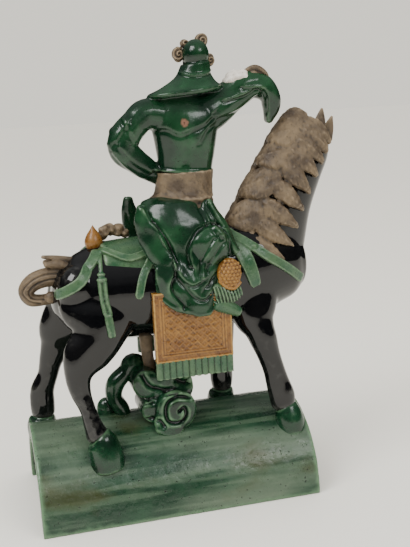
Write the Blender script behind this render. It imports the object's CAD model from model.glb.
import math

import bmesh
import bpy
import numpy as np
from mathutils import Matrix, Vector
from mathutils.bvhtree import BVHTree


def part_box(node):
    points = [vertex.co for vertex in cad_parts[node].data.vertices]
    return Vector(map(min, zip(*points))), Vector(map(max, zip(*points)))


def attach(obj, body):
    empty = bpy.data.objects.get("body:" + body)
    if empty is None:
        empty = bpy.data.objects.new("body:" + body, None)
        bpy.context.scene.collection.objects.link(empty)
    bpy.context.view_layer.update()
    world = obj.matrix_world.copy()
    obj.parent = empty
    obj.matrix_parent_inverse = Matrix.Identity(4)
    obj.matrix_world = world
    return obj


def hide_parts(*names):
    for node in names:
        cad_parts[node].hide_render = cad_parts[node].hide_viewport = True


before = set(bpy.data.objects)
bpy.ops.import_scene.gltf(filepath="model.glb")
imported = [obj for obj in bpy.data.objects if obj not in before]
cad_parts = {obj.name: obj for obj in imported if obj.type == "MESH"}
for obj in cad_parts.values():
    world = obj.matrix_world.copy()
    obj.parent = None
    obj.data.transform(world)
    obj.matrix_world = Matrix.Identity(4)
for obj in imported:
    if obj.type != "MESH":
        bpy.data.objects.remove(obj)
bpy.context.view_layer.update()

# ---------------------------------------------------------------- camera
# The figure is seen from behind its right flank, a little above the saddle.
# Every size below is in millimetres about the middle of the tile's underside:
# X along the ridge the way the horse faces, Y from right flank to left, Z up.
MM = 0.001
TILE_LENGTH = 246
TILE_RADIUS = 72
TILE_WALL = 13
MIDDLE = Vector((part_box("ridge_figure")[0].x + TILE_LENGTH / 2 * MM, 0, 0))
PLACE = Matrix.Translation(MIDDLE) @ Matrix.Scale(MM, 4)

CAMERA_AZIMUTH = math.radians(14.26)
CAMERA_FALL = math.radians(12.18)
CAMERA_ROLL = math.radians(-2.85)
CAMERA_REACH = 811.6
CAMERA_AIM = Vector((44.1, 0, 194.9))

scene = bpy.context.scene
ahead = Vector((
    math.sin(CAMERA_AZIMUTH) * math.cos(CAMERA_FALL),
    math.cos(CAMERA_AZIMUTH) * math.cos(CAMERA_FALL),
    -math.sin(CAMERA_FALL),
))
level = Vector((math.cos(CAMERA_AZIMUTH), -math.sin(CAMERA_AZIMUTH), 0))
upright = level.cross(ahead)
right = math.cos(CAMERA_ROLL) * level + math.sin(CAMERA_ROLL) * upright
up = right.cross(ahead)
camera_data = bpy.data.cameras.new("camera")
camera_data.lens = 59.2
camera_data.sensor_width = 36
camera_data.clip_end = 20
camera = bpy.data.objects.new("camera", camera_data)
camera.matrix_world = Matrix.Translation(PLACE @ (CAMERA_AIM - CAMERA_REACH * ahead)) @ Matrix((
    right, up, -ahead)).transposed().to_4x4()
scene.collection.objects.link(camera)
scene.camera = camera


# ---------------------------------------------------------------- ridge tile
# A half-round clay tile, thrown or bent over a drum, open below so that it beds
# in mortar on the ridge. Its top carries a thin green lead glaze, brushed along
# its length, which ran dry in places and pitted in the kiln.
def kept(bm, name):
    """The bmesh in place, as an object with smooth faces."""
    bmesh.ops.transform(bm, matrix=PLACE, verts=bm.verts)
    mesh = bpy.data.meshes.new(name)
    bm.to_mesh(mesh)
    bm.free()
    obj = bpy.data.objects.new(name, mesh)
    scene.collection.objects.link(obj)
    mesh.shade_smooth()
    return obj


def worked(obj, *modifiers):
    """The object with its modifiers, each (type, settings), applied to its mesh."""
    for kind, settings in modifiers:
        modifier = obj.modifiers.new(kind.lower(), kind)
        for key, value in settings.items():
            setattr(modifier, key, value)
    seen = obj.evaluated_get(bpy.context.evaluated_depsgraph_get())
    mesh = bpy.data.meshes.new_from_object(seen)
    obj.modifiers.clear()
    obj.data = mesh
    mesh.shade_smooth()
    return obj


def fused(obj, voxel, rounds):
    """Clay parts pressed into one skin, then wiped smooth."""
    return worked(
        obj,
        ("REMESH", {"mode": "VOXEL", "voxel_size": voxel * MM}),
        ("SMOOTH", {"factor": 0.5, "iterations": rounds}),
    )


def points_of(obj, kind="co"):
    mesh = obj.data
    values = np.empty(len(mesh.vertices) * 3)
    if kind == "co":
        mesh.vertices.foreach_get("co", values)
        return (values.reshape(-1, 3) - np.array(MIDDLE)) / MM
    mesh.vertex_normals.foreach_get("vector", values)
    return values.reshape(-1, 3)


def carve(obj, depth_at):
    """Moves each point along its normal by depth_at(points, normals), in millimetres."""
    points, normals = points_of(obj), points_of(obj, "normal")
    moved = points + normals * depth_at(points, normals)[:, None]
    obj.data.vertices.foreach_set("co", (moved * MM + np.array(MIDDLE)).ravel())
    obj.data.update()
    return obj


PULL = 0.6


def mark_relief(obj, spread, rounds=12):
    """Keeps on each point how far it stands above (1) or below (0) its surroundings."""
    mesh = obj.data
    count = len(mesh.vertices)
    edges = np.empty(len(mesh.edges) * 2, dtype=np.int64)
    mesh.edges.foreach_get("vertices", edges)
    one, two = edges.reshape(-1, 2).T
    degree = np.bincount(one, minlength=count) + np.bincount(two, minlength=count)
    points, normals = points_of(obj), points_of(obj, "normal")
    flat = points.copy()
    for _ in range(rounds):
        total = np.stack([
            np.bincount(one, flat[two, axis], count) + np.bincount(two, flat[one, axis], count)
            for axis in range(3)
        ], axis=1)
        flat = (1 - PULL) * flat + PULL * total / np.maximum(degree, 1)[:, None]
    proud = ((points - flat) * normals).sum(axis=1)
    values = np.clip(0.5 + proud / spread, 0, 1)
    layer = mesh.attributes.new("relief", "FLOAT", "POINT")
    layer.data.foreach_set("value", values.astype(np.float32))
    return obj


WAVE_COUNT = 6
WAVE_HEIGHT = 3.2


def waves(points, size, seed):
    """Smooth unevenness between -1 and 1 over the points."""
    rng = np.random.default_rng(seed)
    total = np.zeros(len(points))
    for _ in range(WAVE_COUNT):
        run = rng.normal(size=3)
        run *= 2 * math.pi / (size * rng.uniform(0.7, 1.6) * np.linalg.norm(run))
        total += np.sin(points @ run + rng.uniform(0, 2 * math.pi))
    return total / WAVE_HEIGHT


def group_of(name, inputs, outputs):
    """An empty node group with float inputs and typed outputs."""
    group = bpy.data.node_groups.new(name, "ShaderNodeTree")
    for label, value in inputs:
        socket = group.interface.new_socket(label, in_out="INPUT", socket_type="NodeSocketFloat")
        socket.default_value = value
    for label, kind in outputs:
        group.interface.new_socket(label, in_out="OUTPUT", socket_type=kind)
    return group, group.nodes.new("NodeGroupInput"), group.nodes.new("NodeGroupOutput")


def wire(tree, kind, links=None, **settings):
    """A node in the tree, its settings set and its inputs linked or given values."""
    node = tree.nodes.new(kind)
    for key, value in settings.items():
        setattr(node, key, value)
    for key, value in (links or {}).items():
        if isinstance(value, bpy.types.NodeSocket):
            tree.links.new(value, node.inputs[key])
        else:
            node.inputs[key].default_value = value
    return node


def blotch(tree, place, scale, low, high, detail=4.0, stretch=None):
    """A mask from noise of one scale, sharpened between two levels."""
    if stretch:
        place = wire(tree, "ShaderNodeMapping", {"Vector": place, "Scale": stretch}).outputs[0]
    cloudy = wire(tree, "ShaderNodeTexNoise", {"Vector": place, "Scale": scale, "Detail": detail})
    return wire(tree, "ShaderNodeMapRange", {
        "Value": cloudy.outputs["Fac"], "From Min": low, "From Max": high,
    }).outputs["Result"]


def kiln_group():
    """How a glaze settles: pooled, thin at edges, mottled, pitted."""
    group, given, result = group_of(
        "kiln_marks",
        [("Size", 1.0), ("Relief", 0.5)],
        [("Thin", "NodeSocketFloat"), ("Pool", "NodeSocketFloat"), ("Mottle", "NodeSocketFloat"),
         ("Pits", "NodeSocketFloat"), ("Height", "NodeSocketFloat")],
    )
    place = wire(group, "ShaderNodeTexCoord").outputs["Object"]
    scaled = wire(group, "ShaderNodeVectorMath", {0: place}, operation="SCALE")
    group.links.new(given.outputs["Size"], scaled.inputs["Scale"])
    place = scaled.outputs[0]
    mottle = blotch(group, place, 38, 0.36, 0.66, 6)
    fine = blotch(group, place, 170, 0.3, 0.75, 5)
    pits = blotch(group, place, 420, 0.66, 0.74, 2)
    shaken = wire(group, "ShaderNodeMath", {0: fine, 1: -0.5}, operation="ADD").outputs[0]
    shaken = wire(group, "ShaderNodeMath", {0: shaken, 1: 0.16}, operation="MULTIPLY").outputs[0]
    relief = wire(group, "ShaderNodeMath", {0: given.outputs["Relief"], 1: shaken}, operation="ADD")
    thin = wire(group, "ShaderNodeMapRange", {
        "Value": relief.outputs[0], "From Min": 0.60, "From Max": 0.95})
    pool = wire(group, "ShaderNodeMapRange", {
        "Value": relief.outputs[0], "From Min": 0.46, "From Max": 0.16})
    height = wire(group, "ShaderNodeMath", {0: fine, 1: mottle}, operation="ADD").outputs[0]
    height = wire(group, "ShaderNodeMath", {0: height, 1: pits}, operation="SUBTRACT").outputs[0]
    for label, value in (("Thin", thin.outputs[0]), ("Pool", pool.outputs[0]), ("Mottle", mottle),
                         ("Pits", pits), ("Height", height)):
        group.links.new(value, result.inputs[label])
    return group


KILN = kiln_group()
GLAZE_DEPTH = 0.6


def tint(tree, base, colour, mask, strength=1.0):
    """The base colour painted over with another through a mask."""
    if strength != 1.0:
        mask = wire(tree, "ShaderNodeMath", {0: mask, 1: strength}, operation="MULTIPLY").outputs[0]
    node = wire(tree, "ShaderNodeMix", {"Factor": mask}, data_type="RGBA")
    for key, value in ((6, base), (7, colour)):
        if isinstance(value, bpy.types.NodeSocket):
            tree.links.new(value, node.inputs[key])
        else:
            node.inputs[key].default_value = (*value, 1)
    return node.outputs[2]


def finish(name, body, second, thin, pool, gloss, size=1.0, dull=0.55, bump=0.12, extra=None):
    """A fired surface: body colour mottled with a second one, thin on edges, pooled in hollows."""
    material = bpy.data.materials.new(name)
    material.use_nodes = True
    tree = material.node_tree
    shader = tree.nodes["Principled BSDF"]
    kiln = wire(tree, "ShaderNodeGroup", node_tree=KILN)
    kiln.inputs["Size"].default_value = size
    relief = wire(tree, "ShaderNodeAttribute", attribute_name="relief")
    tree.links.new(relief.outputs["Fac"], kiln.inputs["Relief"])
    colour = tint(tree, body, second, kiln.outputs["Mottle"])
    if extra:
        colour = extra(tree, colour)
    colour = tint(tree, colour, thin, kiln.outputs["Thin"], 0.85)
    colour = tint(tree, colour, pool, kiln.outputs["Pool"], 0.9)
    colour = tint(tree, colour, pool, kiln.outputs["Pits"], 0.8)
    tree.links.new(colour, shader.inputs["Base Color"])
    rough = wire(tree, "ShaderNodeMapRange", {
        "Value": kiln.outputs["Height"], "From Min": -0.5, "From Max": 2.0,
        "To Min": gloss, "To Max": dull})
    tree.links.new(rough.outputs[0], shader.inputs["Roughness"])
    raised = wire(tree, "ShaderNodeBump", {
        "Height": kiln.outputs["Height"], "Strength": bump, "Distance": GLAZE_DEPTH * MM})
    tree.links.new(raised.outputs[0], shader.inputs["Normal"])
    return material


def brushed(tree, colour):
    """Long brush marks, bare grey-green where the brush ran dry, and olive drips."""
    place = wire(tree, "ShaderNodeTexCoord").outputs["Object"]
    streak = blotch(tree, place, 150, 0.47, 0.60, 8, (0.07, 1.0, 1.0))
    dry = blotch(tree, place, 26, 0.46, 0.6, 5, (0.22, 1.0, 1.0))
    olive = blotch(tree, place, 22, 0.56, 0.66, 5, (0.5, 1.0, 1.2))
    colour = tint(tree, colour, (0.06, 0.10, 0.06), streak, 0.75)
    colour = tint(tree, colour, (0.11, 0.15, 0.10), dry, 0.6)
    return tint(tree, colour, (0.045, 0.045, 0.012), olive, 0.6)


DARK_GREEN = (0.0015, 0.012, 0.005)
MID_GREEN = (0.006, 0.042, 0.017)
PALE_GREEN = (0.10, 0.19, 0.10)
BLACK = (0.0035, 0.0035, 0.0045)

tile_glaze = finish("tile_glaze", (0.005, 0.026, 0.012), (0.012, 0.052, 0.023), PALE_GREEN,
                    (0.002, 0.005, 0.003), 0.12, dull=0.5, bump=0.5, extra=brushed)


bm = bmesh.new()
inner = bm.verts.new((-TILE_LENGTH / 2, -(TILE_RADIUS - TILE_WALL), 0))
outer = bm.verts.new((-TILE_LENGTH / 2, -TILE_RADIUS, 0))
wall = bm.edges.new((inner, outer))
bmesh.ops.spin(bm, geom=[inner, outer, wall], cent=(0, 0, 0), axis=(-1, 0, 0), angle=math.pi, steps=96)
pushed = bmesh.ops.extrude_face_region(bm, geom=list(bm.faces))
bmesh.ops.translate(bm, verts=[v for v in pushed["geom"] if isinstance(v, bmesh.types.BMVert)],
                    vec=(TILE_LENGTH, 0, 0))
bmesh.ops.recalc_face_normals(bm, faces=bm.faces)
tile = fused(kept(bm, "tile"), 1.7, 3)


def tile_skin(points, normals):
    crest = np.clip(normals[:, 2], 0, 1)
    return -0.35 - 0.35 * waves(points * [0.35, 1, 1], 45, 1) * crest - 0.1 * waves(points, 9, 2)


carve(tile, tile_skin)
mark_relief(tile, 1.6, 14)
tile.data.materials.append(tile_glaze)
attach(tile, "root")
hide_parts("ridge_figure")


# ---------------------------------------------------------------- horse
# The horse is built up by hand over a hollow barrel, its legs luted to the tile
# and its neck turned so that the head looks down into the street. It wears a
# thick glossy black glaze, which runs thin and pale only on the sharpest edges.
def spline(stations, steps):
    """Points along a smooth curve through the stations, `steps` to each stretch."""
    rows = np.array(stations, float)
    rows = np.vstack([2 * rows[0] - rows[1], rows, 2 * rows[-1] - rows[-2]])
    out = []
    for i in range(1, len(rows) - 2):
        a, b, c, d = rows[i - 1:i + 3]
        for t in np.arange(steps) / steps:
            out.append(0.5 * (2 * b + (c - a) * t + (2 * a - 5 * b + 4 * c - d) * t * t
                              + (3 * b - a - 3 * c + d) * t ** 3))
    out.append(rows[-2])
    return np.array(out)


def loft(bm, rings, sides, section=None):
    """Closed skin over rings given as (centre, half side, half rise)."""
    before = None
    for centre, side, rise in rings:
        ring = bmesh.ops.create_circle(bm, cap_ends=False, radius=1, segments=sides)["verts"]
        if section:
            for v in ring:
                v.co.x, v.co.y = section(v.co.x, v.co.y)
        turn = Matrix((side, rise, side.cross(rise))).transposed().to_4x4()
        bmesh.ops.transform(bm, matrix=Matrix.Translation(centre) @ turn, verts=ring)
        loop = list({edge for v in ring for edge in v.link_edges})
        if before is None:
            bmesh.ops.contextual_create(bm, geom=ring)
        else:
            bmesh.ops.bridge_loops(bm, edges=before + loop)
        before = loop
    bmesh.ops.contextual_create(bm, geom=ring)


LIMB_STEPS = 5


def limb(bm, stations, across=(0, 1, 0), sides=20, facing=None, bulge=0.7):
    """A rounded form along stations (x, y, z, half across, half deep)."""
    rows = spline(stations, LIMB_STEPS)
    centres = [Vector(row[:3]) for row in rows]
    rings = []
    for i, row in enumerate(rows):
        ahead = centres[min(i + 1, len(rows) - 1)] - centres[max(i - 1, 0)]
        ahead = Vector(facing) if facing else ahead.normalized()
        side = Vector(across) - ahead * ahead.dot(Vector(across))
        side.normalize()
        rings.append((centres[i], side * row[3], ahead.cross(side) * row[4], ahead))
    swollen = []
    for (centre, side, rise, ahead), way in ((rings[0], -1), (rings[-1], 1)):
        reach = bulge * min(side.length, rise.length) * way
        swollen.append([(centre + ahead * reach * far, side * size, rise * size)
                        for far, size in ((0.4, 0.92), (0.75, 0.68), (1, 0.3)) if bulge])
    skin = swollen[0][::-1] + [ring[:3] for ring in rings] + swollen[1]
    loft(bm, skin, sides)


def ball(bm, centre, halves, turn=0.0):
    bmesh.ops.create_uvsphere(
        bm, u_segments=24, v_segments=16, radius=1, matrix=Matrix.Translation(centre)
        @ Matrix.Rotation(turn, 4, "Y") @ Matrix.Diagonal((*halves, 1)))


BARREL = [
    (-87, 0, 193, 24, 22), (-76, 0, 191, 33, 33), (-60, 0, 189, 38, 40), (-30, 0, 188, 40, 43),
    (5, 0, 188, 41, 43), (40, 0, 191, 40, 45), (75, 0, 196, 38, 46), (102, 0, 199, 34, 42),
    (122, 0, 198, 28, 33), (132, 0, 198, 20, 23),
]
LEGS = {
    "near_hind": ([
        (-54, -18, 190, 17, 36), (-57, -25, 172, 18, 34), (-62, -30, 154, 15.5, 22.5),
        (-74, -34, 140, 12, 19), (-80, -36, 126, 10, 12), (-79.5, -38, 112, 8, 9),
        (-75, -41, 97, 7.5, 7), (-72, -43, 84, 8, 8), (-69, -44, 74, 9, 10)], (-62, -46, 44, 15.5)),
    "far_hind": ([
        (-62, 18, 190, 16, 34), (-73, 24, 168, 16, 28), (-86, 28, 151, 14, 21),
        (-91, 31, 137, 11, 15), (-97, 33, 122, 9.5, 11), (-101, 34, 108, 8, 9.5),
        (-107, 35, 94, 8, 11), (-108, 35, 82, 8.5, 11.5), (-108, 35, 72, 9, 11)], (-109, 36, 50, 14)),
    "near_fore": ([
        (80, -18, 185, 15, 29), (81, -25, 158, 15, 20), (84, -30, 146, 12, 14),
        (87, -32, 136, 11, 12.5), (91, -33, 122, 9.5, 10.5), (95, -34, 108, 9, 10),
        (98, -35, 95, 9, 11), (101, -36, 84, 9.5, 12), (102, -36, 76, 9.5, 11.5)], (108, -38, 50, 13.5)),
    "far_fore": ([
        (66, 18, 185, 15, 29), (65, 25, 158, 15, 20), (64, 28, 142, 12, 14),
        (64, 29, 126, 11, 12.5), (64, 30, 110, 9.5, 11), (63, 30, 95, 9, 11),
        (63, 30, 85, 9, 11), (63, 30, 77, 9, 10)], (63, 32, 54, 13.5)),
}
NECK = [
    (94, 0, 196, 26, 41), (105, 0, 226, 24, 36), (117, 1, 256, 22, 31),
    (132.5, 4, 284, 20, 27.5), (144, 8, 303, 18, 26), (152, 12, 316, 15, 21),
]
HEAD = [
    (150, 8, 313, 14, 13), (151, 20, 308, 16, 17), (151, 33, 294, 14, 17),
    (151, 46, 278, 11, 13), (151, 55, 265, 10, 11), (151, 60, 258, 9, 8.5),
]

bm = bmesh.new()
limb(bm, BARREL, sides=40, bulge=0.32)
for line, _ in LEGS.values():
    limb(bm, line, sides=24)
limb(bm, NECK, sides=32)
limb(bm, HEAD, across=(1, 0, 0), sides=28, bulge=0.5)
ball(bm, (151, 27, 288), (12.5, 12, 13))
for hip in ((-72, -20, 196), (-74, 20, 196)):
    ball(bm, hip, (19, 17, 22))
horse = fused(kept(bm, "horse"), 1.5, 8)
black_glaze = finish("black_glaze", (0.0016, 0.0018, 0.0024), (0.003, 0.003, 0.0034),
                     (0.10, 0.10, 0.09), (0.001, 0.001, 0.001), 0.03, dull=0.09, bump=0.03)
mark_relief(horse, 3.0, 14)
horse.data.materials.append(black_glaze)
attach(horse, "root")
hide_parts("ridge_figure")

green_glaze = finish("green_glaze", DARK_GREEN, MID_GREEN, PALE_GREEN, BLACK, 0.07, dull=0.3)

bm = bmesh.new()
for line, (x, y, z, radius) in LEGS.values():
    top_x, top_y, top_z = line[-1][:3]
    limb(bm, [
        (x, y, z, radius, radius),
        (x - 1, y, z + 10, radius, radius * 0.98),
        ((x + top_x) / 2, (y + top_y) / 2, top_z - 7, radius * 0.82, radius * 0.86),
        (top_x, top_y, top_z - 2, radius * 0.62, radius * 0.68),
    ], sides=28, bulge=0)
hooves = fused(kept(bm, "hooves"), 1.0, 4)
mark_relief(hooves, 1.6)
hooves.data.materials.append(green_glaze)
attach(hooves, "root")
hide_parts("ridge_figure")


# ---------------------------------------------------------------- mane
# Thick leaf-shaped locks of clay, pressed on one by one down the neck. Those on the
# near side curl round it to a point; on the far side they lie as broad scales. They
# were left without glaze, or the glaze has burnt to a dry brown.
def ridge(points, normals, line, rise, soft, sharp, side=-1):
    """A raised edge along a line in X and Z: soft to its left, sharp to its right with a groove."""
    path = spline([(x, 0, z, 0, 0) for x, z in line], 6)[:, [0, 2]]
    flat = points[:, [0, 2]]
    nearest = np.full(len(flat), np.inf)
    away = np.zeros(len(flat))
    for start, end in zip(path, path[1:]):
        run = end - start
        t = np.clip(((flat - start) @ run) / (run @ run), 0, 1)
        gap = flat - start - t[:, None] * run
        far = np.hypot(gap[:, 0], gap[:, 1])
        left = run[0] * gap[:, 1] > run[1] * gap[:, 0]
        closer = far < nearest
        nearest[closer] = far[closer]
        away[closer] = np.where(left, far, -far)[closer]
    height = np.exp(-(away / np.where(away > 0, soft, sharp)) ** 2)
    if rise > 0:
        height -= 0.6 * np.exp(-((away + 2.4 * sharp) / (1.2 * sharp)) ** 2)
    return rise * height * np.clip(normals[:, 1] * side * 1.8, 0, 1)


def creased(obj, lines, side=-1):
    """Tools the lines into one flank; each is (points in X and Z, rise, soft, sharp)."""
    return carve(obj, lambda points, normals: sum(
        ridge(points, normals, *line, side=side) for line in lines))


def neck_at(rise):
    """Centre, direction and half sizes of the neck, `rise` running 0 to 1 up it."""
    rows = spline(NECK, 24)
    i = min(max(rise, 0), 1) * (len(rows) - 1)
    low = min(int(i), len(rows) - 2)
    row = rows[low] + (rows[low + 1] - rows[low]) * (i - low)
    return Vector(row[:3]), Vector(rows[low + 1][:3] - rows[low][:3]).normalized(), row[3], row[4]


def on_neck(rise, turn, lift):
    """A point on the neck: `turn` in degrees from the crest (0) by the near side (90)."""
    centre, along, half_side, half_deep = neck_at(rise)
    near = Vector((0, -1, 0)) + along * along.y
    near.normalize()
    back = along.cross(near)
    if back.x > 0:
        back.negate()
    angle = math.radians(turn)
    return (centre + near * (half_side + lift) * math.sin(angle)
            + back * (half_deep + lift) * math.cos(angle))


def lock_section(c, s):
    """Two incised lines along the back of a lock."""
    return c, s * (0.92 + 0.10 * math.cos(2.6 * math.pi * c))


def lock(bm, rise, turn, drop, sweep, width, depth=4.6):
    """One leaf of the mane, from a root at (rise, turn) to a point further round."""
    steps = 14
    path, outward = [], []
    for i in range(steps + 1):
        t = i / steps
        place = (rise - drop * t, turn + sweep * t)
        path.append(on_neck(*place, 1 + 5 * t * (1 - t ** 6)))
        outward.append((on_neck(*place, 10) - on_neck(*place, 0)).normalized())
    rings = []
    for i, centre in enumerate(path):
        t = i / steps
        along = (path[min(i + 1, steps)] - path[max(i - 1, 0)]).normalized()
        side = outward[i].cross(along).normalized()
        leaf = max(0.14, (0.62 + 0.5 * math.sin(math.pi * min(t * 1.2, 1))) * (1 - t ** 6))
        rings.append((centre, side * width / 2 * leaf,
                      along.cross(side) * depth * (0.6 + 0.4 * t) * (1 - 0.6 * t ** 8)))
    loft(bm, rings, 20, lock_section)


biscuit = finish("mane_biscuit", (0.055, 0.036, 0.020), (0.16, 0.112, 0.062), (0.27, 0.20, 0.125),
                 (0.006, 0.004, 0.003), 0.34, dull=0.75, size=1.6, bump=0.7)

bm = bmesh.new()
limb(bm, [(x - 5, y, z + 1, side - 1, deep - 6) for x, y, z, side, deep in NECK], sides=32)
near_locks = 9
for i in range(near_locks):
    t = i / (near_locks - 1)
    lock(bm, 0.99 - 0.84 * t, 46, 0.10 - 0.03 * t, 84 - 16 * t, 15.5, 6)
far_rows = 6
for i in range(far_rows):
    rise = 1 - 0.84 * i / (far_rows - 1)
    lock(bm, rise, 62, 0.16, -66, 27, 6.5)
    lock(bm, rise - 0.04, 2, 0.16, -66, 29, 6.5)
mane = fused(kept(bm, "mane"), 0.9, 2)


def hair(points, normals):
    """Fine combed lines and dents all over the mane."""
    return 0.3 * waves(points, 5, 3) + 0.25 * waves(points * [1, 1, 0.4], 3.2, 4)


carve(mane, hair)
mark_relief(mane, 2.4, 16)
mane.data.materials.append(biscuit)
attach(mane, "root")
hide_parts("ridge_figure")


# ---------------------------------------------------------------- ears and forelock
# Two small upright ears and a tuft of forelock between them, pinched from the clay.
bm = bmesh.new()
for x, y, z, lean in ((145, 13, 324, -2), (169, 14, 315, 6), (160, 8, 323, 3)):
    limb(bm, [(x, y, z - 8, 4, 6.5), (x + lean / 2, y, z + 2, 3, 5), (x + lean, y - 1, z + 12, 1, 1.2)])
ears = fused(kept(bm, "ears"), 0.7, 2)
mark_relief(ears, 1.2)
ears.data.materials.append(biscuit)
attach(ears, "root")
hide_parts("ridge_figure")


# ---------------------------------------------------------------- tail
# The tail leaves the dock as one thick rope of clay, curls over and is tucked back
# against the rump; short tufts stand on its root.
bm = bmesh.new()
limb(bm, [
    (-84, 0, 206, 8, 9), (-97, 0, 206, 8, 8.5), (-108, 0, 203, 8.5, 8), (-115, 0, 196, 8, 7),
    (-112, 0, 188, 7, 6), (-102, 0, 186.5, 6, 5), (-90, 0, 188, 5, 5)])
for y in (-5, 5):
    limb(bm, [(-76, y, 213, 3, 3.5), (-86, y, 217, 4, 4), (-97, y, 218, 3, 2.5)])
limb(bm, [(-74, 0, 219, 3, 3), (-88, 0, 222, 3, 2.5), (-99, 0, 224, 2, 1.5)])
ball(bm, (-95, -8, 190), (6, 5, 5))
tail = fused(kept(bm, "tail"), 0.7, 2)
creased(tail, [
    ([(-86, 210), (-98, 210), (-110, 206), (-119, 197), (-114, 188), (-104, 184)], -1.3, 0.9, 0.9),
    ([(-84, 205), (-97, 205), (-107, 202), (-113, 196), (-110, 190), (-100, 188)], -1.3, 0.9, 0.9)])
mark_relief(tail, 1.6)
tail.data.materials.append(biscuit)
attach(tail, "root")
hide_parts("ridge_figure")


# ---------------------------------------------------------------- finial
# A turned drop, dipped in amber glaze, where the crupper straps meet on the rump.
amber = finish("amber_glaze", (0.12, 0.045, 0.007), (0.24, 0.11, 0.018), (0.34, 0.20, 0.05),
               (0.020, 0.006, 0.003), 0.14, dull=0.45, bump=0.3, size=1.5)
FINIAL = [(0, 222), (6, 227), (8, 233), (6, 239), (2.5, 244), (0, 248)]


def turned(bm, profile, centre):
    """A solid of revolution about the upright line through the centre."""
    points = spline([(r, 0, z, 0, 0) for r, z in profile], 5)[:, [0, 2]]
    verts = [bm.verts.new((centre[0] + max(r, 0.01), centre[1], z)) for r, z in points]
    edges = [bm.edges.new(pair) for pair in zip(verts, verts[1:])]
    bmesh.ops.spin(bm, geom=verts + edges, cent=(*centre, 0), axis=(0, 0, 1), angle=2 * math.pi,
                   steps=32, use_merge=True)
    bmesh.ops.remove_doubles(bm, verts=bm.verts, dist=0.05)
    bmesh.ops.recalc_face_normals(bm, faces=bm.faces)


bm = bmesh.new()
turned(bm, FINIAL, (-54, 0))
finial = kept(bm, "rump_finial")
mark_relief(finial, 6)
finial.data.materials.append(amber)
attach(finial, "root")
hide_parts("ridge_figure")


# ---------------------------------------------------------------- rump ornament
# Behind the finial stands the stump of a lobed ornament, broken off and left bare.
bm = bmesh.new()
for x, y, z, halves in ((-44, 5, 240, (5, 5, 7)), (-38, 8, 241, (6, 5, 5.5)), (-31, 9, 240, (6, 5, 6)),
                        (-25, 8, 237, (4, 4, 4))):
    ball(bm, (x, y, z), halves, 0.5)
ornament = fused(kept(bm, "rump_ornament"), 0.7, 1)
carve(ornament, lambda points, normals: 0.7 * waves(points, 6, 8))
mark_relief(ornament, 1.2)
ornament.data.materials.append(biscuit)
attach(ornament, "root")
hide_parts("ridge_figure")


# ---------------------------------------------------------------- saddle cloth
# A padded cloth over the horse's back, its rim lying on the rump as a swag.
pale_glaze = finish("pale_green_glaze", (0.016, 0.062, 0.028), (0.055, 0.11, 0.05), (0.15, 0.22, 0.13),
                    (0.002, 0.006, 0.003), 0.12, dull=0.4, bump=0.3, size=1.6)

bm = bmesh.new()
limb(bm, [(-50, 0, 213, 29, 19), (-20, 0, 212, 33, 22), (20, 0, 210, 36, 25), (60, 0, 212, 34, 28)],
     sides=36, bulge=0)
saddle_cloth = fused(kept(bm, "saddle_cloth"), 1.4, 4)
mark_relief(saddle_cloth, 1.6)
saddle_cloth.data.materials.append(pale_glaze)
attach(saddle_cloth, "root")
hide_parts("ridge_figure")


# ---------------------------------------------------------------- harness
# Flat straps of clay with raised edges, luted on: crupper, tassel, hem, girth and
# breast straps, the same on both flanks.
def strap_section(c, s):
    """Flat between two raised edges; c runs through the thickness, s across the width."""
    wide = math.copysign(abs(s) ** 0.7, s)
    return math.copysign(abs(c) ** 0.6, c) * (0.6 + 0.5 * abs(wide) ** 3), wide


def tree_of(obj):
    """The object's skin in millimetres, for laying things on it."""
    bm = bmesh.new()
    bm.from_mesh(obj.data)
    bmesh.ops.transform(bm, matrix=PLACE.inverted(), verts=bm.verts)
    tree = BVHTree.FromBMesh(bm)
    bm.free()
    return tree


BODY = [tree_of(horse), tree_of(saddle_cloth)]
REACH = 120


def on_flank(x, z, side, lift):
    """The point of the flank at X and Z, stood off it, with the way the skin faces."""
    hits = [tree.ray_cast(Vector((x, side * REACH, z)), Vector((0, -side, 0))) for tree in BODY]
    hits = [(place, normal) for place, normal, _, _ in hits if place]
    if not hits:
        hits = [tree.find_nearest(Vector((x, side * 20, z)))[:2] for tree in BODY]
    place, normal = max(hits, key=lambda hit: side * hit[0].y)
    return place + normal * lift, normal


def strap(bm, route, half_wide, half_proud, side, section=strap_section):
    """A strap laid along a route in X and Z on one flank."""
    path = spline([(x, 0, z, 0, 0) for x, z in route], 6)[:, [0, 2]]
    laid = [on_flank(x, z, side, half_proud * 0.35) for x, z in path]
    rings = []
    for i, (place, normal) in enumerate(laid):
        along = (laid[min(i + 1, len(laid) - 1)][0] - laid[max(i - 1, 0)][0]).normalized()
        out = (normal - along * normal.dot(along)).normalized()
        end = 0.55 if i in (0, len(laid) - 1) else 1
        rings.append((place, out * half_proud * end, along.cross(out) * half_wide * end))
    loft(bm, rings, 24, section)


STRAPS = [
    ([(-53, 227), (-59, 220), (-65, 214), (-72, 206), (-82, 200), (-91, 195)], 4.6, 3.2),
    ([(-50, 228), (-42, 225), (-34, 222), (-26, 221), (-12, 224)], 3.2, 3.2),
    ([(-8, 223), (-14, 214), (-20, 204), (-25, 188)], 3.6, 2.8),
    ([(58, 236), (65, 231), (73, 226), (83, 219), (94, 211), (105, 204), (116, 196), (127, 187)],
     4.2, 3.2),
    ([(61, 228), (66, 218), (72, 205), (79, 187)], 3.8, 2.6),
    ([(65, 230), (74, 216), (79, 200), (81, 188)], 3.4, 2.6),
]
TASSEL = [(-51, 227), (-53, 219), (-54, 210)]
TASSEL_STRANDS = [(-54, 207), (-54, 196), (-53, 184), (-52, 177)]
TASSEL_BRUSH = [(-52, 177), (-51, 167), (-50, 158)]

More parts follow.
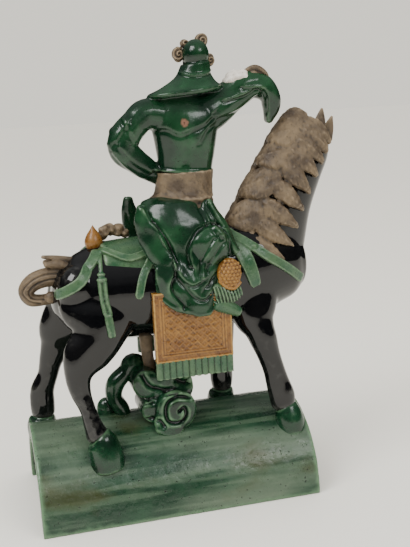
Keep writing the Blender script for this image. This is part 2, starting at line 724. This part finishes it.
bm = bmesh.new()
for side in (-1, 1):
    for route, half_wide, half_proud in STRAPS:
        strap(bm, route, half_wide, half_proud, side)
    strap(bm, TASSEL, 1.8, 2.2, side, None)
    for shift in (-2.1, 2.1):
        strap(bm, [(x + shift, z) for x, z in TASSEL_STRANDS], 1.9, 2.6, side, None)
        strap(bm, [(x + shift * 0.6, z) for x, z in TASSEL_BRUSH], 2.2, 2.2, side, None)
    for x, z, halves in ((-54, 206, (4.6, 3.6, 2.4)), (-54, 210, (3.6, 3, 2)), (-52, 177, (3.8, 3, 1.6)),
                         (81, 221, (4, 3.4, 3.4))):
        ball(bm, on_flank(x, z, side, 1)[0], halves)
harness = fused(kept(bm, "harness"), 0.7, 1)
mark_relief(harness, 1.2)
harness.data.materials.append(pale_glaze)
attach(harness, "root")
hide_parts("ridge_figure")


# ---------------------------------------------------------------- flaps and fringes
# A square panel hangs from the saddle on each side, stamped with a lattice of
# diamonds inside a double border and glazed amber; a green fringe of rolled
# strands is stuck along its lower edge.
FLAP_BACK, FLAP_FRONT, FLAP_TOP, FLAP_BOTTOM = -14, 54, 192, 131
FLAP_OUT, FLAP_THICK = 47, 6
FRINGE_DROP, FRINGE_RIBS = 15, 12


def panel(bm, low, high, cuts):
    """A closed block between two corners, cut fine enough to carry relief."""
    low, high = Vector(low), Vector(high)
    size = high - low
    middle = Matrix.Translation((low + high) / 2)
    bmesh.ops.create_cube(bm, size=1, matrix=middle @ Matrix.Diagonal((*size, 1)))
    for axis, count in enumerate(cuts):
        along = [e for e in bm.edges
                 if abs((e.verts[0].co - e.verts[1].co).normalized()[axis]) > 0.99]
        bmesh.ops.subdivide_edges(bm, edges=along, cuts=count, use_grid_fill=True)


def lattice_depth(points, normals):
    """Relief of a flap: diamonds inside two raised border lines."""
    x, z = points[:, 0], points[:, 2]
    inset = np.minimum.reduce([x - FLAP_BACK, FLAP_FRONT - x, FLAP_TOP - z, z - FLAP_BOTTOM])
    step = 6.4
    shaken = 0.10 * waves(points, 12, 5)
    one = np.abs(((x + z) / step + shaken) % 1 - 0.5)
    two = np.abs(((x - z) / step - shaken) % 1 - 0.5)
    diamonds = 0.7 * np.clip(1 - np.minimum(one, two) / 0.2, 0, 1) + 0.25 * waves(points, 3, 6)
    lines = sum(np.exp(-((inset - at) / 0.7) ** 2) for at in (1.0, 5.6, 8.0))
    relief = np.where(inset > 9.2, diamonds, 0) + 0.9 * lines + 0.2 * waves(points, 4, 7)
    return relief * (np.abs(normals[:, 1]) > 0.7) * 0.6


def strand_depth(points, normals):
    """Relief of a fringe: rolled strands side by side, their ends cut unevenly."""
    turn = (points[:, 0] - FLAP_BACK) / (FLAP_FRONT - FLAP_BACK) * FRINGE_RIBS
    return (2.0 * np.sqrt(np.abs(np.sin(math.pi * turn))) - 1.6) * (np.abs(normals[:, 1]) > 0.6)


for name, side in (("near", -1), ("far", 1)):
    outer, inner = side * FLAP_OUT, side * (FLAP_OUT - FLAP_THICK)
    bm = bmesh.new()
    panel(bm, (FLAP_BACK, min(outer, inner), FLAP_BOTTOM), (FLAP_FRONT, max(outer, inner), FLAP_TOP),
          (110, 5, 100))
    bmesh.ops.recalc_face_normals(bm, faces=bm.faces)
    flap = carve(kept(bm, name + "_flap"), lattice_depth)
    mark_relief(flap, 0.9, 8)
    flap.data.materials.append(amber)
    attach(flap, "root")
    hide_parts("ridge_figure")

    bm = bmesh.new()
    panel(bm, (FLAP_BACK, min(outer, inner), FLAP_BOTTOM - FRINGE_DROP),
          (FLAP_FRONT, max(outer, inner), FLAP_BOTTOM + 1), (150, 5, 24))
    bmesh.ops.recalc_face_normals(bm, faces=bm.faces)
    fringe = carve(kept(bm, name + "_fringe"), strand_depth)
    mark_relief(fringe, 1.4, 8)
    fringe.data.materials.append(pale_glaze)
    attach(fringe, "root")
    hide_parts("ridge_figure")


# ---------------------------------------------------------------- cloud
# The cloud that carries the horse's weight: a scrolled head of rolled lobes, a
# second arm behind it, a lump, and a plain post up to the belly.
SCROLL_X, SCROLL_Z, SCROLL_Y = 4, 82, -37
bm = bmesh.new()
for x, z, radius, front in ((-19, 105, 13, -26), (-15, 81, 11, -29), (-3, 71, 14, -38),
                            (SCROLL_X, SCROLL_Z, 18, SCROLL_Y), (4, 100, 19, -26)):
    limb(bm, [(x, 12, z, radius, radius), (x, 0, z, radius, radius),
              (x, front + 4, z, radius, radius)], across=(1, 0, 0), sides=32, bulge=0.25)
limb(bm, [(10, 0, 152, 15, 18), (9, -2, 125, 13, 14), (8, -4, 104, 12, 14)])
cloud = fused(kept(bm, "cloud"), 0.9, 9)
SCROLL_LINE = [
    (16, 93), (5, 95), (-4, 91), (-7, 83), (-5, 74), (2, 71), (8, 72), (12, 78), (10, 84), (6, 82)]
creased(cloud, [
    (SCROLL_LINE, -4.0, 1.7, 1.7),
    ([(-25, 118), (-18, 105), (-8, 100), (4, 98)], -3.0, 2.2, 2.2),
    ([(-27, 91), (-17, 90)], -3.4, 2, 2), ([(-22, 74), (-13, 75), (-9, 70)], -2.8, 1.8, 1.8),
    ([(8, 107), (15, 103), (23, 104)], -6.5, 3.2, 3.2),
    ([(-14, 66), (-4, 60), (8, 61), (18, 68)], 1.4, 3, 3)])
mark_relief(cloud, 1.6)
cloud.data.materials.append(green_glaze)
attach(cloud, "root")
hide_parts("ridge_figure")

bm = bmesh.new()
limb(bm, [(-16, 6, 110, 9, 9), (-26, 6, 117, 10, 10), (-33, 7, 110, 10, 7.5), (-43, 7, 100, 10, 8.5),
          (-45, 8, 87, 9, 7.5), (-39, 8, 75, 9, 7.5), (-37, 8, 66, 9, 7)])
ball(bm, (-52, 16, 74), (9, 8, 11))
cloud_arm = fused(kept(bm, "cloud_arm"), 0.9, 3)
mark_relief(cloud_arm, 1.6)
cloud_arm.data.materials.append(green_glaze)
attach(cloud_arm, "root")
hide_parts("ridge_figure")

bm = bmesh.new()
limb(bm, [(-14, -2, 154, 7, 7), (-14, -3, 130, 6, 5.5), (-11, -4, 104, 6, 5)])
cloud_post = fused(kept(bm, "cloud_post"), 0.9, 3)
mark_relief(cloud_post, 1.6)
cloud_post.data.materials.append(biscuit)
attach(cloud_post, "root")
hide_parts("ridge_figure")


# ---------------------------------------------------------------- rider
# The rider sits with one hand on the hip and the other arm raised; its hand is lost
# and the long sleeve hangs in one point. Body, neck guard and helmet are one form
# under a mottled green glaze.
SPOT = PLACE @ Vector((28, -19, 331))


def bare_spot(tree, colour):
    """A small patch between the shoulders where the glaze never took."""
    place = wire(tree, "ShaderNodeTexCoord").outputs["Object"]
    far = wire(tree, "ShaderNodeVectorMath", {0: place, 1: SPOT}, operation="DISTANCE").outputs["Value"]
    shaken = wire(tree, "ShaderNodeTexNoise", {"Vector": place, "Scale": 260}).outputs["Fac"]
    ragged = wire(tree, "ShaderNodeMath", {0: shaken, 1: 0.004}, operation="MULTIPLY").outputs[0]
    edge = wire(tree, "ShaderNodeMath", {0: far, 1: ragged}, operation="ADD").outputs[0]
    mask = wire(tree, "ShaderNodeMapRange", {
        "Value": edge, "From Min": 0.0062, "From Max": 0.0048}).outputs[0]
    dark = blotch(tree, place, 26, 0.44, 0.56, 5)
    colour = tint(tree, colour, (0.001, 0.009, 0.005), dark, 0.7)
    return tint(tree, colour, (0.17, 0.085, 0.055), mask)


rider_glaze = finish("rider_green", (0.003, 0.022, 0.008), (0.012, 0.058, 0.022), (0.075, 0.14, 0.075),
                     (0.001, 0.004, 0.002), 0.06, dull=0.3, bump=0.15, extra=bare_spot)

bm = bmesh.new()
limb(bm, [
    (30, -2, 262, 17, 23), (30.5, -2, 288, 16.5, 23.5), (31.5, -2, 306, 17.5, 26),
    (32, -2, 324, 18.5, 29), (32, -1, 338, 17.5, 31), (33, 0, 349, 13, 25), (36, 2, 357, 10, 14)],
    sides=36)
limb(bm, [
    (14, -2, 337, 13, 14), (-2, -3, 339, 12.5, 13.5), (-12, -5, 332, 12, 12.5),
    (-22, -6, 321, 12, 13.5), (-23, -6, 310, 11.5, 13), (-14, -4, 301, 10.5, 11),
    (-5, -1, 294, 9.5, 10), (6, 2, 286, 8, 8), (12, 3, 282, 7, 7)])
limb(bm, [
    (42, -1, 333, 14, 19), (58, -1, 340, 14, 17), (74, 0, 350, 13.5, 14.5),
    (86, 0, 358, 13.5, 14.5), (97, 0, 361, 13, 12)])
limb(bm, [
    (90, 0, 361, 13, 12), (103, 0, 357.5, 12.5, 11.5), (111, 0, 349, 11, 9),
    (112, 0, 339, 9, 8), (109, 0, 328, 5, 4)])
limb(bm, [
    (33.5, -2, 354, 21, 31), (34, -2, 357.5, 22, 33.5), (37, -2, 362, 17, 25),
    (42, 0, 370, 13.5, 16), (45, 1, 380, 13, 12.8)], facing=(-0.08, 0, 0.997), bulge=0)
ball(bm, (45.7, 2, 387), (11.6, 13.5, 13.2))
for x, z, radius in ((-30, 326, 5), (-33, 316, 4.5), (-26, 303, 4)):
    ball(bm, (x, -6, z), (radius, radius + 2, radius))
rider = fused(kept(bm, "rider_body"), 0.9, 4)
creased(rider, [
    ([(3, 328), (13, 328), (23, 323), (30, 325), (44, 330), (52, 336)], 1.1, 10, 1.6),
    ([(-23, 337), (-20, 330), (-13, 318)], 0.9, 6, 1.4),
    ([(-31, 320), (-27, 326), (-20, 333)], 0.8, 5, 1.3),
    ([(-33, 309), (-24, 298), (-10, 286)], 1.0, 4, 1.2),
    ([(-28, 314), (-16, 300), (-2, 291)], 0.9, 4, 1.2),
    ([(59, 335), (80, 341), (92, 350), (97, 353)], 1.0, 7, 1.4),
    ([(66, 348), (82, 352), (96, 358), (105, 353), (108, 340), (107, 328)], 1.2, 3, 1.0),
    ([(84, 358), (98, 357), (104, 346), (105, 332)], 1.0, 3, 1.0),
    ([(39, 315), (46, 325), (56, 331)], 0.7, 5, 1.4),
    ([(29, 320), (27, 296)], -1.0, 3, 3),
    ([(3, 291.5), (26, 289), (51, 288)], 1.6, 1.6, 1.0),
    ([(28, 373), (38, 370), (50, 371), (58, 374)], 1.0, 1.2, 1.0)])
mark_relief(rider, 3.2, 16)
rider.data.materials.append(rider_glaze)
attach(rider, "root")
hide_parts("ridge_figure")

bm = bmesh.new()
limb(bm, [(45, 10, 372, 7, 7), (45.7, 12, 379, 9, 8.5), (45.7, 11, 392, 9, 8)], across=(1, 0, 0))
ball(bm, (45.7, 21, 381), (1.8, 2.6, 4))
face = fused(kept(bm, "rider_face"), 0.7, 2)
mark_relief(face, 1.2)
face.data.materials.append(rider_glaze)
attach(face, "root")
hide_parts("ridge_figure")

bm = bmesh.new()
for centre, halves in (((31.5, 7, 388), (5.5, 5, 7)), ((38, 9, 397), (4.2, 5, 4.2)),
                       ((53, 8, 399), (6, 5, 6.5)), ((59, 6, 382), (5, 5, 6))):
    ball(bm, centre, halves)
scrolls = fused(kept(bm, "helmet_scrolls"), 0.6, 1)


def curled(points, normals):
    """Each scroll is tooled as a tight spiral."""
    relief = np.zeros(len(points))
    for x, z in ((31.5, 388), (38, 397), (53, 399), (59, 382)):
        away = np.hypot(points[:, 0] - x, points[:, 2] - z)
        turn = np.arctan2(points[:, 2] - z, points[:, 0] - x)
        relief += np.where(away < 8, 0.9 * np.cos(turn + away * 2.0), 0)
    return relief * np.clip(np.abs(normals[:, 1]) * 1.5, 0.2, 1) - 0.4


carve(scrolls, curled)
mark_relief(scrolls, 1.2)
scrolls.data.materials.append(biscuit)
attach(scrolls, "root")
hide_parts("ridge_figure")


# ---------------------------------------------------------------- broken wrist
# The wrist has broken off: a white filled patch and the brown inside of the cuff show.
plaster = finish("plaster", (0.52, 0.46, 0.40), (0.64, 0.60, 0.54), (0.74, 0.71, 0.66),
                 (0.25, 0.18, 0.13), 0.6, dull=0.9, bump=0.6)
bm = bmesh.new()
ball(bm, (80, -3, 366), (12.5, 9, 6.5), -0.25)
wrist = fused(kept(bm, "broken_wrist"), 0.7, 1)
carve(wrist, lambda points, normals: 0.8 * waves(points, 7, 11))
mark_relief(wrist, 1.2)
wrist.data.materials.append(plaster)
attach(wrist, "root")
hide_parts("ridge_figure")


# ---------------------------------------------------------------- cuff
# Beside the break the hollow mouth of the sleeve is bare brown clay.
bm = bmesh.new()
limb(bm, [(88, -5, 369, 3, 4), (96, -6, 371.5, 3.5, 5), (104, -5, 368, 3, 4), (108, -3, 362, 2, 3)])
cuff = fused(kept(bm, "cuff"), 0.6, 1)
creased(cuff, [([(88, 370), (96, 372), (106, 366)], -2.0, 1.6, 1.6)])
mark_relief(cuff, 1.2)
cuff.data.materials.append(biscuit)
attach(cuff, "root")
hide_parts("ridge_figure")


# ---------------------------------------------------------------- waist wrap
# A cloth wound round the waist and hips, bare of glaze but for a brown wash.
bm = bmesh.new()
limb(bm, [
    (24, -5, 239, 24, 24), (23, -4, 251, 25, 30), (24, -3, 264, 23, 29.5), (28, -2, 272, 20, 26),
    (29.5, -2, 289, 19, 25.5)], sides=36, facing=(0, 0, 1), bulge=0)
wrap = fused(kept(bm, "waist_wrap"), 0.9, 3)
creased(wrap, [([(-4, 268), (14, 266), (30, 266), (48, 266)], 1.4, 4, 1.5),
               ([(-18, 248), (2, 245), (33, 248)], 1.8, 2.5, 1.4)])
carve(wrap, lambda points, normals: 0.5 * waves(points, 16, 9) + 0.2 * waves(points, 5, 10))
mark_relief(wrap, 1.6)
wrap.data.materials.append(biscuit)
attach(wrap, "root")
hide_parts("ridge_figure")


# ---------------------------------------------------------------- robe
# The robe is thrown over both bent legs in heavy folds.
FOLDS = [
    ([(9, 180), (1, 191), (0, 199), (6, 211), (6, 217), (-1, 235), (-11, 251), (-16, 262)], 2.2, 4, 1.2),
    ([(6, 219), (0, 235), (-7, 249)], 1.4, 3, 1.1),
    ([(7, 216), (9, 210), (13, 203), (20, 198), (27, 200)], 1.7, 6, 1.1),
    ([(8, 208), (11, 203), (17, 195), (24, 187), (30, 185), (34, 188)], 1.7, 6, 1.1),
    ([(49, 241), (40, 242), (31, 239), (24, 231), (21, 224), (22, 214)], 2.0, 7, 1.2),
    ([(33, 197), (42, 208), (50, 216), (61, 219)], 1.6, 7, 1.2),
    ([(42, 232), (36, 224), (31, 214), (29, 203)], 1.3, 5, 1.1),
    ([(50, 228), (43, 220), (36, 208)], 1.0, 4, 1.0),
    ([(-9, 212), (-9, 198), (-6, 187), (5, 178), (18, 173), (30, 169), (38, 174)], 1.6, 2.4, 1.4),
    ([(44, 262), (50, 248), (57, 232), (62, 218)], 1.8, 3, 1.2),
    ([(38, 258), (42, 244), (48, 236)], 1.6, 3, 1.2),
]
CLOTHS = [
    [(-16, 31, 264, 3, 4), (-16, 33, 254, 4.5, 7), (-13, 35, 241, 5.5, 9), (-8, 38, 228, 5.5, 9),
     (-2, 42, 215, 5, 8), (-1, 44, 203, 4.5, 8), (0, 44, 192, 4, 7)],
    [(43, 22, 262, 4, 5), (47, 27, 250, 5, 7), (52, 31, 239, 5, 8), (57, 34, 228, 4.5, 7),
     (61, 35, 218, 3, 5)],
]
ROBES = {
    -1: [
        (12, 10, 262, 24, 26), (15, 20, 250, 20, 32), (17, 28, 237, 15, 34), (22, 33, 221, 12, 31),
        (20, 38.5, 205, 10, 29), (18, 41.5, 190, 8.5, 27), (19, 43.5, 179, 8, 22),
        (27, 44, 171, 6.5, 12)],
    1: [
        (24, 10, 262, 22, 24), (27, 20, 248, 18, 27), (29, 28, 235, 15, 27), (31, 34, 220, 12, 26),
        (29, 39.5, 205, 9, 24), (27, 42, 190, 8, 21), (27, 43.5, 179, 7.5, 17), (28, 44, 171, 6, 10)],
}
for name, side in (("near", -1), ("far", 1)):
    bm = bmesh.new()
    limb(bm, [(x, side * y, z, a, b) for x, y, z, a, b in ROBES[side]], sides=36,
         facing=(0, 0, -1), bulge=0.3)
    for piece in CLOTHS:
        limb(bm, [(x, side * y, z, a, b) for x, y, z, a, b in piece], sides=28)
    ball(bm, (39, side * 38, 227), (18, 12, 17))
    robe = fused(kept(bm, name + "_robe"), 0.8, 4)
    creased(robe, FOLDS, side)
    carve(robe, lambda points, normals: 0.35 * waves(points, 14, 12))
    mark_relief(robe, 3.0, 16)
    robe.data.materials.append(rider_glaze)
    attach(robe, "root")
    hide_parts("ridge_figure")

    bm = bmesh.new()
    limb(bm, [(40, side * 34, 224, 7, 11), (50, side * 40, 206, 5, 9), (49, side * 43, 190, 5, 8),
              (46, side * 45, 176, 6, 8)])
    limb(bm, [(43, side * 45, 178, 6, 7.5), (51, side * 46, 174, 5.5, 6.5),
              (60, side * 47, 169, 4.5, 4.5)])
    limb(bm, [(41, side * 46, 192, 3.5, 4.5), (47, side * 47.5, 186, 4, 5), (55, side * 47.5, 183, 4, 5),
              (62, side * 45, 187, 3.5, 4.5)])
    boot = fused(kept(bm, name + "_boot"), 0.7, 2)
    carve(boot, lambda points, normals: np.where(
        np.abs(points[:, 2] - 186) < 7, 0.9 * np.cos(points[:, 0] * 2.2 + points[:, 2] * 0.5), 0))
    mark_relief(boot, 1.6)
    boot.data.materials.append(pale_glaze)
    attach(boot, "root")
    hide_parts("ridge_figure")

    bm = bmesh.new()
    ball(bm, (54, side * 45, 203), (11, 5.5, 13.5))
    limb(bm, [(45, side * 46, 197, 2.2, 1.8), (50, side * 48, 192, 2.2, 1.8),
              (57, side * 47.5, 190, 2.2, 1.8),
              (63, side * 45, 194, 2.2, 1.8)])
    for row in range(8):
        for column in range(6):
            across = (column + 0.5 * (row % 2) - 2.75) / 3.1
            rise = (row - 3.5) / 4.4
            inside = 1 - across * across - rise * rise
            if inside > 0.06:
                ball(bm, (54 + 10 * across, side * (45 + 6 * math.sqrt(inside)), 204 + 13 * rise),
                     (1.55, 1.3, 1.5))
    guard = fused(kept(bm, name + "_knee_guard"), 0.5, 0)
    mark_relief(guard, 1.2)
    guard.data.materials.append(amber)
    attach(guard, "root")
    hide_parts("ridge_figure")


# ---------------------------------------------------------------- floor, light and hand-over
# A plain pale floor that runs out into a pale backdrop, a large soft light from the
# upper left, and a dim room for the glaze to mirror above the bright floor.
FLOOR_SIZE = 16.0
bm = bmesh.new()
bmesh.ops.create_grid(bm, x_segments=1, y_segments=1, size=FLOOR_SIZE / 2)
floor_mesh = bpy.data.meshes.new("floor")
bm.to_mesh(floor_mesh)
bm.free()
floor = bpy.data.objects.new("floor", floor_mesh)
scene.collection.objects.link(floor)
floor_paint = bpy.data.materials.new("floor_paint")
floor_paint.use_nodes = True
floor_shader = floor_paint.node_tree.nodes["Principled BSDF"]
floor_shader.inputs["Base Color"].default_value = (0.88, 0.86, 0.80, 1)
floor_shader.inputs["Roughness"].default_value = 0.9
floor_shader.inputs["Specular IOR Level"].default_value = 0.15
floor_mesh.materials.append(floor_paint)


def soft_light(name, place, aim, size, watts):
    data = bpy.data.lights.new(name, "AREA")
    data.shape = "RECTANGLE"
    data.size, data.size_y = size
    data.energy = watts
    lamp = bpy.data.objects.new(name, data)
    lamp.location = place
    lamp.rotation_euler = (Vector(aim) - Vector(place)).to_track_quat("-Z", "Y").to_euler()
    scene.collection.objects.link(lamp)


soft_light("key", (-1.0, -0.5, 1.5), (0, 0, 0.2), (0.8, 0.8), 20)
soft_light("fill", (0.9, -1.6, 1.5), (0, 0, 0.2), (1.0, 0.5), 12)

world = bpy.data.worlds.new("studio")
scene.world = world
world.use_nodes = True
tree = world.node_tree
backdrop = tree.nodes["Background"]
path = wire(tree, "ShaderNodeLightPath")
height = wire(tree, "ShaderNodeSeparateXYZ", {
    0: wire(tree, "ShaderNodeTexCoord").outputs["Generated"]}).outputs["Z"]
room = wire(tree, "ShaderNodeMapRange", {
    "Value": height, "From Min": 0.25, "From Max": 0.85, "To Min": 0.03, "To Max": 0.42})
light = tint(tree, (1.35, 1.32, 1.24), room.outputs[0], path.outputs["Is Glossy Ray"])
shade = tint(tree, light, (1.10, 1.06, 0.95), path.outputs["Is Camera Ray"])
tree.links.new(shade, backdrop.inputs["Color"])
